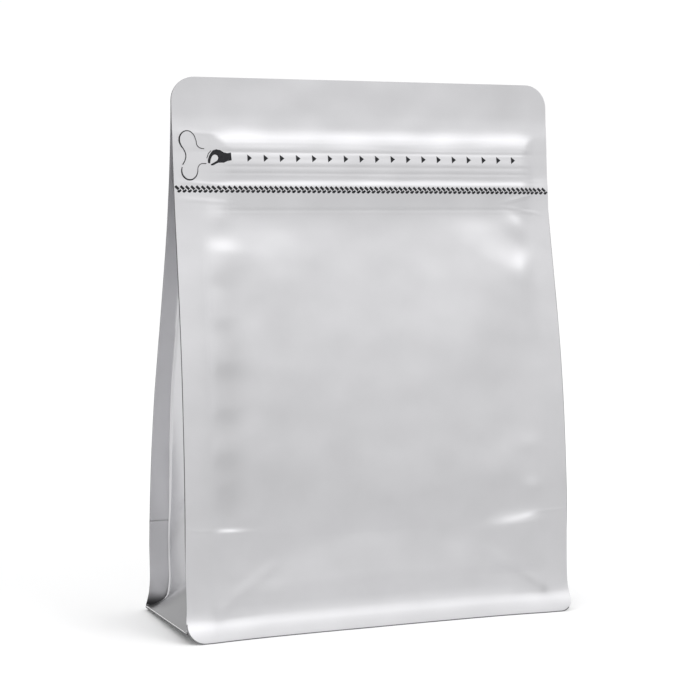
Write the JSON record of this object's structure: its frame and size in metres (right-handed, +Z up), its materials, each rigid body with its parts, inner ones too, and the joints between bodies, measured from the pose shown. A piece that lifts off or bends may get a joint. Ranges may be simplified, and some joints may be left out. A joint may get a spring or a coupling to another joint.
{
  "type": "flat bottom pouch",
  "caption": "Shut flat bottom pouch of plain silver foil film, with gusseted sides, a pull-tab zip across the front and a flared sealed skirt that it stands on.",
  "frame": {"origin": "middle of the footprint, on the floor", "axes": "+Z up, +X along the front panel to the right of someone facing it, the front panel towards -Y"},
  "size_m": [0.1928, 0.08, 0.257],
  "materials": {
    "film": "matte silver foil laminate"
  },
  "bodies": {
    "root": {"pouch": "film"}
  },
  "joints": []
}
